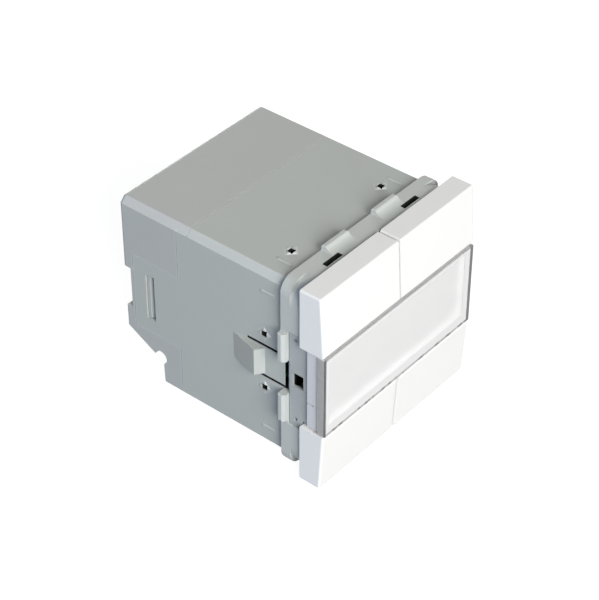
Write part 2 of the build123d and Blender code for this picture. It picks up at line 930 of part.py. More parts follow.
def make_controller_chip():
    """Flat package with a row of bent leads on both long sides."""
    top = coupler_board_top
    side = chip_half_width
    chip = block(-side, side, chip_front, chip_back, top + 0.25, top + 1.75)
    for index in range(lead_count):
        y = chip_front + 1.0 + lead_pitch * index
        for sign in (-1, 1):
            profile = [(side - 0.2, top + 0.8), (side + 0.6, top + 0.8), (side + 0.9, top)]
            profile += [(side + 1.6, top), (side + 1.6, top + 0.2), (side + 1.1, top + 0.2)]
            profile += [(side + 0.75, top + 1.0), (side - 0.2, top + 1.0)]
            face = make_face(Polyline(*[(sign * x, z) for x, z in profile], close=True))
            chip += section_y(face, y - 0.2, y + 0.2)
    return chip


def write(shape, node):
    """Writes one sub-part as parts/NODE.step."""
    export_step(shape, "parts/" + node + ".step")


def main():
    """Builds every sub-part and writes it to its own file."""
    write(make_main_case(), "main_case")
    write(make_rear_cover(), "rear_cover")
    write(make_front_carrier(), "front_carrier")
    key = make_upper_right_key()
    corners = {"upper_right": (1, 1), "upper_left": (-1, 1), "lower_right": (1, -1), "lower_left": (-1, -1)}
    for corner, (sign_x, sign_z) in corners.items():
        shape = key
        if sign_x < 0:
            shape = mirror(shape, about=Plane.YZ)
        if sign_z < 0:
            shape = mirror(shape, about=Plane.XY)
        write(shape, corner + "_key")
        x = sign_x * switch_x
        z = sign_z * switch_offset
        write(make_switch_body(x, z), corner + "_switch")
        write(make_switch_plunger(x, z), corner + "_plunger")
    write(make_label_base(), "label_base")
    write(make_label_insert(), "label_insert")
    write(make_label_cover(), "label_cover")
    write(make_light_guide(), "light_guide")
    for index, x in enumerate(led_places(), start=1):
        write(make_window_led(x), "window_led_" + str(index))
    write(make_front_board(), "front_board")
    write(make_link_socket(), "link_socket")
    write(make_link_header(), "link_header")
    write(make_link_pins(), "link_pins")
    write(make_coupler_board(), "coupler_board")
    write(make_bus_pin_header(), "bus_pin_header")
    write(make_bus_pins(), "bus_pins")
    write(make_storage_capacitor(), "storage_capacitor")
    write(make_bus_choke(), "bus_choke")
    write(make_controller_chip(), "controller_chip")


main()
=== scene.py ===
import logging
import math
from abc import ABC, abstractmethod
from dataclasses import dataclass
from enum import Enum
from typing import Any, Callable, Optional, Sequence, Union

import bmesh
import bpy
import numpy as np
from mathutils import Matrix, Vector


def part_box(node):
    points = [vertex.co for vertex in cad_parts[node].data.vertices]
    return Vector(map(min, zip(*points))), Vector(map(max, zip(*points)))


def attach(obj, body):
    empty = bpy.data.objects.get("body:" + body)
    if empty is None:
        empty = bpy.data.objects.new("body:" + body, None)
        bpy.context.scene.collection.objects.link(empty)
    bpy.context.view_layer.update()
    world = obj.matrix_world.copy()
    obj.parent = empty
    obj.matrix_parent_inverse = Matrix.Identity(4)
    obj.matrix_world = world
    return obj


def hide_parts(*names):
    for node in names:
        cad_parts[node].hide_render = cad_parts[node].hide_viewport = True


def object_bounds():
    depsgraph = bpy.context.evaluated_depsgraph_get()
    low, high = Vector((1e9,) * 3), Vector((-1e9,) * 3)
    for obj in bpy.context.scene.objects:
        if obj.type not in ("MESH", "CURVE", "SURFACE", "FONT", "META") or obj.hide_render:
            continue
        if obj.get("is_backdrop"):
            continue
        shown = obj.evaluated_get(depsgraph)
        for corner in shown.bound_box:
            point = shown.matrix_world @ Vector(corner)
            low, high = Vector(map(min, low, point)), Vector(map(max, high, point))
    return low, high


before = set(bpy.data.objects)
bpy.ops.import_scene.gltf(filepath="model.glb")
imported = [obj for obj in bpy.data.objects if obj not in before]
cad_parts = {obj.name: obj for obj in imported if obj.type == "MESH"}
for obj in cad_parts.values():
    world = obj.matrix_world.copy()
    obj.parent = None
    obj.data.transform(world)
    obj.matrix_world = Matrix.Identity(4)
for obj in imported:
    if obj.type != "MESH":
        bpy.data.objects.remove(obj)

LOG = logging.getLogger("pushbutton_switch")
HOUSING = "housing"
MM = 0.001
CORNERS = ("upper_right", "upper_left", "lower_right", "lower_left")
BOTH = (-1, 1)
WELD = 1e-7

Colour = tuple[float, float, float]
# Points, three numbers each in metres, and faces, four corner numbers each
Solid = tuple[np.ndarray, np.ndarray]


def joined(operation: str, swapped: bool = False) -> Callable[["Wire", "Value"], "Wire"]:
    """Makes a Wire method that joins the wire and another value with one Math node.

    Args:
        operation: Blender's name of the operation.
        swapped: Whether the other value comes first, as a number on the left does.

    Returns:
        The method.
    """

    def method(self: "Wire", other: "Value") -> "Wire":
        """Joins the two."""
        return self.math(operation, other, self) if swapped else self.math(operation, self, other)

    return method


class Wire:
    """An output socket whose sums, products and comparisons add Math nodes to its recipe.

    A comparison gives 1 where it holds, else 0. The methods least and most give the smaller and
    the greater of two values.
    """

    __add__ = joined("ADD")
    __radd__ = joined("ADD", swapped=True)
    __sub__ = joined("SUBTRACT")
    __rsub__ = joined("SUBTRACT", swapped=True)
    __mul__ = joined("MULTIPLY")
    __truediv__ = joined("DIVIDE")
    __pow__ = joined("POWER")
    __gt__ = joined("GREATER_THAN")
    __lt__ = joined("LESS_THAN")
    least = joined("MINIMUM")
    most = joined("MAXIMUM")

    def __init__(self, recipe: "Recipe", socket: bpy.types.NodeSocket) -> None:
        """Keeps the socket and the recipe that it belongs to."""
        self.recipe = recipe
        self.socket = socket

    def math(self, operation: str, *values: "Value") -> "Wire":
        """Adds one Math node of that operation, with its inputs in order."""
        return self.recipe.add("ShaderNodeMath", {"operation": operation}, dict(enumerate(values)))

    def __abs__(self) -> "Wire":
        """Absolute value."""
        return self.math("ABSOLUTE", self)

    def floor(self) -> "Wire":
        """Whole part."""
        return self.math("FLOOR", self)

    def fraction(self) -> "Wire":
        """Part after the decimal point."""
        return self.math("FRACT", self)


Value = Union[float, int, Sequence[float], Wire]
Inputs = dict[Union[str, int], Value]


class Recipe:
    """A material's node tree, filled by one method that adds any node."""

    def __init__(self, name: str) -> None:
        """Starts an empty material of that name."""
        self.material = bpy.data.materials.new(name)
        self.material.use_nodes = True
        self.tree = self.material.node_tree
        self.tree.nodes.clear()

    def add(
        self,
        kind: str,
        settings: Optional[dict[str, Any]] = None,
        inputs: Optional[Inputs] = None,
        output: Union[str, int] = 0,
    ) -> Optional[Wire]:
        """Adds a node, sets its options first and then its sockets.

        Args:
            kind: Blender's node type.
            settings: Options of the node.
            inputs: Values or wires by socket name or number.
            output: The output socket that is wanted.

        Returns:
            That output as a wire, or None for a node without outputs.
        """
        node = self.tree.nodes.new(kind)
        for name, value in (settings or {}).items():
            setattr(node, name, value)
        for name, value in (inputs or {}).items():
            socket = node.inputs[name]
            if isinstance(value, Wire):
                self.tree.links.new(value.socket, socket)
            elif socket.type == "RGBA" and len(value) == 3:
                socket.default_value = (*value, 1.0)
            else:
                socket.default_value = value
        return Wire(self, node.outputs[output]) if len(node.outputs) else None

    def place(self) -> Wire:
        """Returns the point's place on its object, in metres."""
        return self.add("ShaderNodeTexCoord", output="Object")

    def axes(self) -> tuple[Wire, ...]:
        """Returns X, Y and Z of the point's place, in millimetres."""
        split = self.add("ShaderNodeSeparateXYZ", inputs={0: self.place()})
        return tuple(Wire(self, socket) * (1.0 / MM) for socket in split.socket.node.outputs)

    def noise(self, size_mm: float, detail: float = 2.0, squeeze: Sequence[float] = (1, 1, 1)) -> Wire:
        """Adds a cloud pattern on the object.

        Args:
            size_mm: Size of one cloud.
            detail: Number of finer layers.
            squeeze: How much the clouds are squeezed along each axis.

        Returns:
            The pattern's value, about 0.5 on average.
        """
        settings = {"operation": "MULTIPLY"}
        scaled = self.add("ShaderNodeVectorMath", settings, {0: self.place(), 1: squeeze})
        inputs = {"Vector": scaled, "Scale": 1.0 / (size_mm * MM), "Detail": detail}
        return self.add("ShaderNodeTexNoise", inputs=inputs)

    def blend(self, factor: Value, first: Value, second: Value) -> Wire:
        """Mixes two colours, 0 for the first and 1 for the second."""
        inputs = {0: factor, 6: first, 7: second}
        return self.add("ShaderNodeMix", {"data_type": "RGBA"}, inputs, output=2)

    def bump(self, height: Wire, depth_mm: float) -> Wire:
        """Turns a height pattern into a surface normal, with the given full depth."""
        inputs = {"Height": height, "Distance": depth_mm * MM}
        return self.add("ShaderNodeBump", inputs=inputs)

    def shade(self, inputs: Inputs, cover: Optional[Value] = None) -> bpy.types.Material:
        """Ends the recipe with one Principled shader.

        Args:
            inputs: The shader's values and wires by socket name.
            cover: How much of a clear shader it covers, 0 to 1, or None without a clear one.

        Returns:
            The finished material.
        """
        surface = self.add("ShaderNodeBsdfPrincipled", inputs=inputs)
        if cover is not None:
            clear = self.add("ShaderNodeBsdfTransparent")
            surface = self.add("ShaderNodeMixShader", inputs={0: cover, 1: clear, 2: surface})
        self.add("ShaderNodeOutputMaterial", inputs={"Surface": surface})
        return self.material


def tinted(colour: Colour, factor: float) -> Colour:
    """Returns the colour made lighter or darker by a factor."""
    return tuple(min(1.0, channel * factor) for channel in colour)


@dataclass(frozen=True)
class Finish(ABC):
    """A finish whose recipe ends with one Principled shader."""

    name: str

    @abstractmethod
    def inputs(self, recipe: Recipe) -> Inputs:
        """Returns the shader's values and wires by socket name."""

    def material(self) -> bpy.types.Material:
        """Builds the material."""
        recipe = Recipe(self.name)
        return recipe.shade(self.inputs(recipe))


@dataclass(frozen=True)
class MouldedPlastic(Finish):
    """Injection-moulded plastic: fine eroded grain over soft clouds of tone, and pale specks."""

    colour: Colour
    roughness: float = 0.45
    grain_mm: float = 0.16
    grain_depth_mm: float = 0.004
    cloud_mm: float = 9.0
    cloud_contrast: float = 0.03
    speck_contrast: float = 0.03
    speck_grains: float = 3.0
    speck_level: float = 0.68
    speck_tone: Colour = (0.9, 0.9, 0.88)
    specular: float = 0.4

    def inputs(self, recipe: Recipe) -> Inputs:
        """Returns the plastic in its own tone all over."""
        return self.toned(recipe, 0.0, self.colour)

    def toned(self, recipe: Recipe, share: Value, tone: Value) -> Inputs:
        """Works out the plastic with part of it in another tone.

        Args:
            recipe: The material's recipe.
            share: How much of the other tone shows.
            tone: The other tone.

        Returns:
            Inputs whose tone and roughness wander and whose surface is finely pitted.
        """
        clouds = recipe.noise(self.cloud_mm, detail=3.0)
        grain = recipe.noise(self.grain_mm, detail=2.0)
        specks = recipe.noise(self.grain_mm * self.speck_grains, detail=1.0) > self.speck_level
        low, high = 1 - self.cloud_contrast, 1 + self.cloud_contrast
        wide = recipe.blend(clouds, tinted(self.colour, low), tinted(self.colour, high))
        dusted = recipe.blend(specks * self.speck_contrast, wide, self.speck_tone)
        return {
            "Base Color": recipe.blend(share, dusted, tone),
            "Roughness": self.roughness + (clouds - 0.5) * 0.08 + (grain - 0.5) * 0.1,
            "Specular IOR Level": self.specular,
            "Normal": recipe.bump(grain, self.grain_depth_mm),
        }


@dataclass(frozen=True, kw_only=True)
class CasePlastic(MouldedPlastic):
    """The case's plastic, with painted highlights along seams, bevels, snap holes and collar, and painted
    shade inside its walls.
    """

    half_mm: float
    back_mm: float
    dark_inside: bool
    top_seam_inset_mm: float = 16.85
    side_seam_inset_mm: float = 14.2
    tongue_inset_mm: float = 2.65
    tongue_half_mm: float = 8.5
    beside_mm: float = 0.3
    bevel_mm: float = 1.3
    band_mm: float = 0.38
    core_mm: float = 0.1
    # Strengths of the painted highlights on seams, snap rims, bevels and collar
    band_strength: float = 0.17
    edge_strength: float = 0.15
    bevel_share: float = 1.4
    face_mm: float = 0.05
    flat_mm: float = 0.02
    snap_back_mm: float = 4.7
    snap_rim_mm: float = 1.7
    top_snap_mm: float = 12.9
    side_snap_mm: float = 6.35
    rim_strength: float = 0.22
    skin_mm: float = 0.08
    collar_front_mm: float = -4.3
    collar_back_mm: float = 0.1
    collar_top_mm: float = 21.5
    slot_end_mm: float = 5.0
    slot_back_mm: float = -2.5
    dark_end_mm: float = 12.0
    # pale is the tone of the painted highlights, inside the tone of the painted shade
    pale: Colour = (0.86, 0.87, 0.89)
    inside: Colour = (0.02, 0.021, 0.021)

    def near(self, value: Wire, place: float) -> Wire:
        """Returns 1 at a place and less with the distance, down to 0 at the band's edge."""
        return (1 - abs(value - place) / self.band_mm).most(0.0)

    def seams(self, x: Wire, y: Wire, z: Wire) -> Wire:
        """Finds the painted highlight bands along the seams between case and rear cover.

        The seam crosses the top at one depth and the side at another, follows the tongue's two
        edges and ends round its tip. On the top its core is twice as strong.

        Args:
            x: Size of the place's X.
            y: The place's Y.
            z: Size of the place's Z.

        Returns:
            1 on a seam, 0 a band's width from it.
        """
        top_y = self.back_mm - self.top_seam_inset_mm
        side_y = self.back_mm - self.side_seam_inset_mm
        tip_y = self.back_mm - self.tongue_inset_mm
        beside = x > self.half_mm - self.beside_mm
        beyond = z > self.tongue_half_mm
        side = self.near(y, side_y) * beyond
        edge = self.near(z, self.tongue_half_mm) * (y > side_y) * (y < tip_y)
        tip = self.near(y, tip_y) * (1 - beyond)
        over = self.near(y, top_y) * (z > self.half_mm - self.bevel_mm)
        core = abs(y - top_y) < self.core_mm
        return side.most(edge).most(tip) * beside + over * (1 - beside) * (1 + core)

    def snap_rims(self, x: Wire, y: Wire, z: Wire) -> Wire:
        """Finds the painted highlight diamonds round the snap holes, where the sum of both distances is
        small.
        """
        depth = abs(y - self.snap_back_mm)
        face = self.half_mm - self.face_mm
        over = ((abs(x - self.top_snap_mm) + depth) < self.snap_rim_mm) * (z > face)
        beside = ((abs(z - self.side_snap_mm) + depth) < self.snap_rim_mm) * (x > face)
        return over.most(beside)

    def edges(self, x: Wire, y: Wire, z: Wire) -> Wire:
        """Finds the places with painted highlights: the bevels along the case, and the collar with its
        lugs.
        """
        inner = self.half_mm - self.flat_mm
        bevel = ((x + z) > 2 * self.half_mm - self.bevel_mm - self.face_mm) * (x < inner) * (z < inner)
        return (bevel * self.bevel_share).most(y < self.collar_back_mm)

    def depths(self, x: Wire, y: Wire, z: Wire) -> Wire:
        """Finds where shade is painted: the walls' insides, under the skin of the case's box and in the
        collar's slots.
        """
        skin = self.half_mm - self.skin_mm
        bevelled = 2 * self.half_mm - self.bevel_mm - 2 * self.skin_mm
        behind = y > self.collar_front_mm
        under = (x < skin) * (z < skin) * ((x + z) < bevelled) * behind * (y < self.dark_end_mm)
        slot = (z < self.collar_top_mm) * (x < self.half_mm - self.slot_end_mm)
        return under.most(slot * behind * (y < self.slot_back_mm))

    def inputs(self, recipe: Recipe) -> Inputs:
        """Returns the plastic with painted highlights in soft pale bands and rims, and painted shade
        inside if asked for.
        """
        x, y, z = recipe.axes()
        x, z = abs(x), abs(z)
        # Painted highlights on seams, snap rims, bevels and collar
        light = self.seams(x, y, z) * self.band_strength + self.snap_rims(x, y, z) * self.rim_strength
        light = light + self.edges(x, y, z) * self.edge_strength
        if not self.dark_inside:
            return self.toned(recipe, light, self.pale)
        # Painted shade inside the walls and in the collar's slots
        dark = self.depths(x, y, z)
        return self.toned(recipe, light.most(dark), recipe.blend(dark, self.pale, self.inside))


@dataclass(frozen=True, kw_only=True)
class CarrierPlastic(MouldedPlastic):
    """The carrier's plastic, with painted shade on the hooks that stand in the case's holes."""

    hook_mm: float
    hook_front_mm: float = 2.5
    shadow: Colour = (0.02, 0.021, 0.021)

    def inputs(self, recipe: Recipe) -> Inputs:
        """Returns the plastic with painted shade where a point lies outside the cavity and behind the
        collar.
        """
        x, y, z = recipe.axes()
        hooks = (abs(x).most(abs(z)) > self.hook_mm) * (y > self.hook_front_mm)
        return self.toned(recipe, hooks, self.shadow)


@dataclass(frozen=True, kw_only=True)
class KeyPlastic(MouldedPlastic):
    """The keys' satin plastic, with painted shade along the joint between neighbours and on the hooks."""

    joint_mm: float = 0.62
    joint_shade: float = 0.3
    hook_front_mm: float = -4.5
    hook_shade: float = 0.9
    # grey is the tone of the painted shade
    grey: Colour = (0.42, 0.42, 0.43)

    def inputs(self, recipe: Recipe) -> Inputs:
        """Returns the plastic with painted shade: greyer towards the middle plane and dark behind the
        keys' rims.
        """
        x, y, _ = recipe.axes()
        joint = (1 - abs(x) / self.joint_mm).most(0.0) ** 0.5 * self.joint_shade
        behind = (y > self.hook_front_mm) * self.hook_shade
        return self.toned(recipe, joint.most(behind), self.grey)


@dataclass(frozen=True)
class ClearPlastic(Finish):
    """Polished clear plastic with the faint waves of its mould and some handling haze."""

    colour: Colour = (0.93, 0.95, 0.95)
    roughness: float = 0.12
    refraction: float = 1.49

    def inputs(self, recipe: Recipe) -> Inputs:
        """Returns a clear body with a slightly wavy surface."""
        waves = recipe.noise(6.0, detail=1.0)
        haze = recipe.noise(1.2, detail=4.0)
        return {
            "Base Color": recipe.blend(haze, tinted(self.colour, 0.985), self.colour),
            "Roughness": self.roughness + (haze > 0.62) * 0.03,
            "IOR": self.refraction,
            "Transmission Weight": 1.0,
            "Normal": recipe.bump(waves, 0.004),
        }


@dataclass(frozen=True)
class LabelCap:
    """Clear cap over the label: see-through in front, with painted grey shade on its walls, painted dark
    refraction lines along its corners and a pale rim painted over the walls.
    """

    name: str
    half_width_mm: float
    half_height_mm: float
    front_mm: float
    face_mm: float = 0.05
    line_mm: float = 0.27
    rim_mm: float = 1.0
    far_line_mm: float = 1.1
    low_line_mm: float = 0.85
    margin_mm: float = 2.72
    edge_depth_mm: float = 0.45
    corner_share: float = 0.25
    gap_share: float = 0.5
    dash_share: float = 0.4
    dash_level: float = 0.56
    line_cover: float = 0.85
    rim_cover: float = 0.88
    wall_cover: float = 0.6
    wall_shade_spread: float = 0.3
    gloss_power: float = 5.0
    gloss_share: float = 0.8
    least_gloss: float = 0.03
    # corner_tone paints the dark refraction lines, the wall tones paint grey shade on the walls'
    # outsides, lighter on the upper wall, and rim_tone paints the pale rim and margin
    corner_tone: Colour = (0.10, 0.10, 0.105)
    wall_tone: Colour = (0.5, 0.48, 0.465)
    upper_wall_tone: Colour = (0.62, 0.61, 0.6)
    rim_tone: Colour = (0.765, 0.765, 0.77)

    def material(self) -> bpy.types.Material:
        """Builds the material.

        The inset is the distance to the cap's outline: the smaller of the half width less the size
        of X and the half height less the size of Z. The depth counts from the front. Corner lines
        have a small inset and depth and carry painted dark refraction lines, the walls' outsides
        have no inset and carry painted grey shade, lighter on the upper wall, and the rim is the
        front over the walls, painted pale. At its far end and low side the rim has a painted dark
        line, dashed below, and a wider painted pale margin, which hides the walls behind it but
        lets light in to the label.

        Returns:
            A clear material whose covered share grows along the corners, over the walls and at the
            fifth power of one minus the cosine of the viewing angle, as gloss does.
        """
        recipe = Recipe(self.name)
        x, y, z = recipe.axes()
        from_ends, from_sides = self.half_width_mm - abs(x), self.half_height_mm - abs(z)
        from_far, from_low = self.half_width_mm - x, self.half_height_mm + z
        inset = from_ends.least(from_sides)
        depth = y - self.front_mm
        # Painted dark refraction lines along the corners, the far end and, dashed, the low side
        corner = (inset < self.line_mm) * (depth < self.line_mm + self.face_mm)
        beyond = 1 - corner
        line = corner * (self.corner_share + (from_ends < self.line_mm) * (1 - self.corner_share))
        haze = recipe.noise(1.4, detail=4.0)
        edge = depth < self.edge_depth_mm
        dashes = self.gap_share + (haze > self.dash_level) * self.dash_share
        low = (from_low < self.low_line_mm) * edge * dashes
        far = (from_far < self.far_line_mm) * edge
        outside = (inset < self.face_mm) * beyond
        # Pale margin and rim painted over the walls; the margin lets light through to the label
        lets_light_in = recipe.add("ShaderNodeLightPath", output="Is Shadow Ray")
        margin = (from_far.least(from_low) < self.margin_mm) * (depth < self.face_mm)
        margin = margin * beyond * (1 - lets_light_in)
        rim = ((inset < self.rim_mm) * beyond * (1 - outside)).most(margin)
        dark = line.most(far).most(low)
        turned = recipe.add("ShaderNodeLayerWeight", inputs={"Blend": 0.5}, output="Facing")
        gloss = turned ** self.gloss_power * self.gloss_share + self.least_gloss
        # Painted grey shade on the walls' outsides, lighter on the upper wall
        painted_wall_shade = outside * (self.wall_cover + haze * self.wall_shade_spread)
        cover = line * self.line_cover + painted_wall_shade + rim * self.rim_cover + gloss
        above = z > self.half_height_mm - self.face_mm
        wall = recipe.blend(above, self.wall_tone, self.upper_wall_tone)
        plain = recipe.blend(outside, self.rim_tone, wall)
        inputs = {
            "Base Color": recipe.blend(dark, plain, self.corner_tone),
            "Roughness": 0.05 + (haze > 0.62) * 0.04,
            "Normal": recipe.bump(recipe.noise(6.0, detail=1.0), 0.004),
        }
        return recipe.shade(inputs, cover.least(1.0))


@dataclass(frozen=True)
class LabelPaper(Finish):
    """Matt label sheet with short fibres along its length."""

    colour: Colour = (0.746, 0.742, 0.752)
    stain: Colour = (0.86, 0.86, 0.84)

    def inputs(self, recipe: Recipe) -> Inputs:
        """Returns pale paper with drawn-out fibres in tone and relief."""
        fibres = recipe.noise(0.5, detail=4.0, squeeze=(0.4, 1.0, 1.6))
        clouds = recipe.noise(7.0, detail=2.0)
        tone = recipe.blend(fibres, tinted(self.colour, 0.975), tinted(self.colour, 1.015))
        return {
            "Base Color": recipe.blend(clouds * 0.25, tone, self.stain),
            "Roughness": 0.72 + (fibres - 0.5) * 0.2,
            "Specular IOR Level": 0.25,
            "Normal": recipe.bump(fibres, 0.006),
        }


class BoardPlane(Enum):
    """The plane that a circuit board lies in, as the numbers of its two axes."""

    UPRIGHT = (0, 2)
    LEVEL = (0, 1)


@dataclass(frozen=True)
class CircuitLaminate(Finish):
    """Glass-fibre board: solder mask over copper tracks that run in square steps."""

    plane: BoardPlane
    mask: Colour = (0.012, 0.105, 0.045)
    track: Colour = (0.03, 0.19, 0.075)
    cell_mm: float = 2.54
    track_share: float = 0.16
    bare_cells: float = 0.14

    def inputs(self, recipe: Recipe) -> Inputs:
        """Works out raised, lighter tracks under the mask.

        Each square cell draws lots for tracks along one axis or the other: a track is where the
        place within the cell lies within a share of the cell's width of its middle.

        Args:
            recipe: The material's recipe.

        Returns:
            The shader's inputs.
        """
        axes = recipe.axes()
        first, second = (axes[number] / self.cell_mm for number in self.plane.value)
        cell = recipe.add("ShaderNodeCombineXYZ", inputs={0: first.floor(), 1: second.floor()})
        draw = recipe.add("ShaderNodeTexWhiteNoise", {"noise_dimensions": "3D"}, {"Vector": cell})
        along_first = abs(second.fraction() - 0.5) < self.track_share
        along_second = abs(first.fraction() - 0.5) < self.track_share
        chosen = draw > 0.5
        tracks = (along_first * chosen + along_second * (1 - chosen)) * (draw < 1 - self.bare_cells)
        weave = recipe.noise(0.35, detail=1.0)
        colour = recipe.blend(tracks, self.mask, self.track)
        return {
            "Base Color": recipe.blend(weave * 0.2, colour, tinted(self.mask, 1.5)),
            "Roughness": 0.3 + weave * 0.12,
            "Coat Weight": 0.3,
            "Normal": recipe.bump(tracks + weave * 0.15, 0.03),
        }


@dataclass(frozen=True)
class BrightMetal(Finish):
    """Drawn or plated metal with fine draw lines and dull patches."""

    colour: Colour
    roughness: float
    line_mm: float = 0.2
    squeeze: tuple[float, float, float] = (1.0, 1.0, 8.0)

    def inputs(self, recipe: Recipe) -> Inputs:
        """Returns metal whose draw lines show in tone, roughness and relief."""
        lines = recipe.noise(self.line_mm, detail=2.0, squeeze=self.squeeze)
        patches = recipe.noise(3.0, detail=3.0)
        tone = recipe.blend(patches, tinted(self.colour, 0.86), self.colour)
        return {
            "Base Color": recipe.blend(lines * 0.3, tone, tinted(self.colour, 0.75)),
            "Roughness": self.roughness + lines * 0.1 + (patches > 0.6) * 0.08,
            "Metallic": 1.0,
            "Normal": recipe.bump(lines, 0.004),
        }


@dataclass(frozen=True)
class SinteredCore(Finish):
    """Dull ferrite with pale grains and small pits."""

    colour: Colour = (0.03, 0.03, 0.033)

    def inputs(self, recipe: Recipe) -> Inputs:
        """Returns dark stone-like stuff with light grains and pits."""
        grains = recipe.noise(0.25, detail=3.0)
        pits = recipe.noise(0.6, detail=2.0)
        return {
            "Base Color": recipe.blend(grains > 0.64, self.colour, tinted(self.colour, 2.4)),
            "Roughness": 0.66 + (grains - 0.5) * 0.2,
            "Normal": recipe.bump(grains + (pits > 0.6) * -0.6, 0.02),
        }


@dataclass(frozen=True)
class ChipBody(Finish):
    """Moulded chip whose leads, beyond the body's sides, are plated metal."""

    body_half_mm: float = 3.01
    epoxy: Colour = (0.02, 0.02, 0.022)
    bloom: Colour = (0.045, 0.045, 0.047)
    plating: Colour = (0.72, 0.72, 0.7)

    def inputs(self, recipe: Recipe) -> Inputs:
        """Returns plating where the size of X passes half the body's width, else matt epoxy."""
        lead = abs(recipe.axes()[0]) > self.body_half_mm
        pores = recipe.noise(0.12, detail=2.0)
        body = recipe.blend(pores, self.epoxy, self.bloom)
        return {
            "Base Color": recipe.blend(lead, body, self.plating),
            "Roughness": 0.62 - lead * 0.35 + (pores - 0.5) * 0.15,
            "Metallic": lead,
            "Normal": recipe.bump(pores, 0.006),
        }


@dataclass(frozen=True)
class LampPackage(Finish):
    """Surface-mounted lamp: white ceramic with a yellow phosphor lens in front."""

    lens_front_mm: float
    ceramic: Colour = (0.8, 0.8, 0.77)
    phosphor: Colour = (0.86, 0.62, 0.1)
    dust: Colour = (0.6, 0.58, 0.5)

    def inputs(self, recipe: Recipe) -> Inputs:
        """Returns phosphor where Y is smaller than the front of the package, else ceramic."""
        lens = recipe.axes()[1] < self.lens_front_mm
        grain = recipe.noise(0.1, detail=2.0)
        tone = recipe.blend(lens, self.ceramic, self.phosphor)
        return {
            "Base Color": recipe.blend(grain * 0.15, tone, self.dust),
            "Roughness": 0.5 - lens * 0.3 + (grain - 0.5) * 0.1,
            "Coat Weight": lens * 0.8,
            "Normal": recipe.bump(grain, 0.003),
        }


@dataclass(frozen=True)
class EnamelledWire(Finish):
    """Copper wire under a thin coat of amber enamel."""

    colour: Colour = (0.72, 0.22, 0.07)

    def inputs(self, recipe: Recipe) -> Inputs:
        """Returns coated copper with slow changes of tone along the wire."""
        clouds = recipe.noise(1.6, detail=2.0)
        fine = recipe.noise(0.15, detail=1.0)
        return {
            "Base Color": recipe.blend(clouds, tinted(self.colour, 0.7), self.colour),
            "Roughness": 0.26 + clouds * 0.1,
            "Metallic": 1.0,
            "Coat Weight": 0.7,
            "Normal": recipe.bump(fine, 0.004),
        }


@dataclass(frozen=True)
class StudioPaint(Finish):
    """Pale matt floor that keeps a soft shadow and fades to white."""

    colour: Colour = (0.35, 0.35, 0.35)
    glow: float = 0.9

    def inputs(self, recipe: Recipe) -> Inputs:
        """Returns a pale paint with a faint even glow and the slightest mottling."""
        clouds = recipe.noise(60.0, detail=2.0)
        return {
            "Base Color": recipe.blend(clouds, tinted(self.colour, 0.995), self.colour),
            "Roughness": 0.9,
            "Specular IOR Level": 0.0,
            "Emission Color": (1.0, 1.0, 1.0),
            "Emission Strength": self.glow,
        }


class Finishes:
    """Every material of the switch, made once and looked up by a plain name."""

    case_wall_mm = 1.55

    def __init__(self) -> None:
        """Builds the materials."""
        half_mm, back_mm = (corners_of("rear_cover")[1] / MM)[:2]
        cap_low, cap_high = (corner / MM for corner in corners_of("label_cover"))
        recipes = [
            CasePlastic(
                "case_plastic", (0.457, 0.480, 0.455), roughness=0.5,
                half_mm=half_mm, back_mm=back_mm, dark_inside=True,
            ),
            CasePlastic(
                "cover_plastic", (0.447, 0.462, 0.448), roughness=0.5,
                half_mm=half_mm, back_mm=back_mm, dark_inside=False,
            ),
            LabelCap("clear_plastic", cap_high[0], cap_high[2], front_mm=cap_low[1]),
            CarrierPlastic(
                "carrier_plastic", (0.40, 0.42, 0.42), roughness=0.5, hook_mm=half_mm - self.case_wall_mm
            ),
            KeyPlastic(
                "key_plastic", (0.87, 0.867, 0.86), roughness=0.33, grain_mm=0.1, grain_depth_mm=0.0015,
                cloud_contrast=0.008, speck_contrast=0.0, specular=0.5,
            ),
            MouldedPlastic("window_plastic", (0.655, 0.65, 0.672)),
            MouldedPlastic("connector_plastic", (0.018, 0.018, 0.02), roughness=0.42, specular=0.5),
            MouldedPlastic("switch_plastic", (0.022, 0.022, 0.025), roughness=0.4, specular=0.5),
            MouldedPlastic("plunger_plastic", (0.66, 0.6, 0.48), roughness=0.35, specular=0.5),
            MouldedPlastic(
                "sleeve_film", (0.03, 0.05, 0.13), roughness=0.22, grain_depth_mm=0.001, specular=0.6
            ),
            MouldedPlastic(
                "part_ceramic", (0.42, 0.33, 0.24), roughness=0.4, cloud_mm=1.0, cloud_contrast=0.1
            ),
            ClearPlastic("guide_plastic"),
            LabelPaper("label_sheet"),
            CircuitLaminate("upright_board", BoardPlane.UPRIGHT),
            CircuitLaminate("level_board", BoardPlane.LEVEL),
            BrightMetal("pin_metal", (0.78, 0.74, 0.66), 0.22, squeeze=(1.0, 0.15, 1.0)),
            BrightMetal("can_metal", (0.83, 0.83, 0.84), 0.3),
            BrightMetal("spring_metal", (0.7, 0.7, 0.69), 0.28, squeeze=(0.2, 1.0, 1.0)),
            BrightMetal("solder", (0.72, 0.73, 0.74), 0.18, line_mm=0.6, squeeze=(1.0, 1.0, 1.0)),
            SinteredCore("choke_core"),
            ChipBody("chip_package"),
            LampPackage("lamp_resin", lens_front_mm=0.28),
            EnamelledWire("choke_wire"),
            StudioPaint("studio_floor"),
        ]
        self.made = {recipe.name: recipe.material() for recipe in recipes}

    def dress_nodes(self, wear: dict[str, str]) -> None:
        """Gives each CAD node's own slots the material named beside it."""
        for node, name in wear.items():
            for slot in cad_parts[node].material_slots:
                slot.material = self.made[name]
            LOG.info("node %s wears %s", node, name)

    def dress_piece(self, piece: bpy.types.Object, name: str) -> None:
        """Gives a new piece its only material."""
        piece.data.materials.append(self.made[name])


def linked(name: str, data: bpy.types.ID) -> bpy.types.Object:
    """Makes an object of the data and links it to the scene."""
    made = bpy.data.objects.new(name, data)
    bpy.context.scene.collection.objects.link(made)
    return made


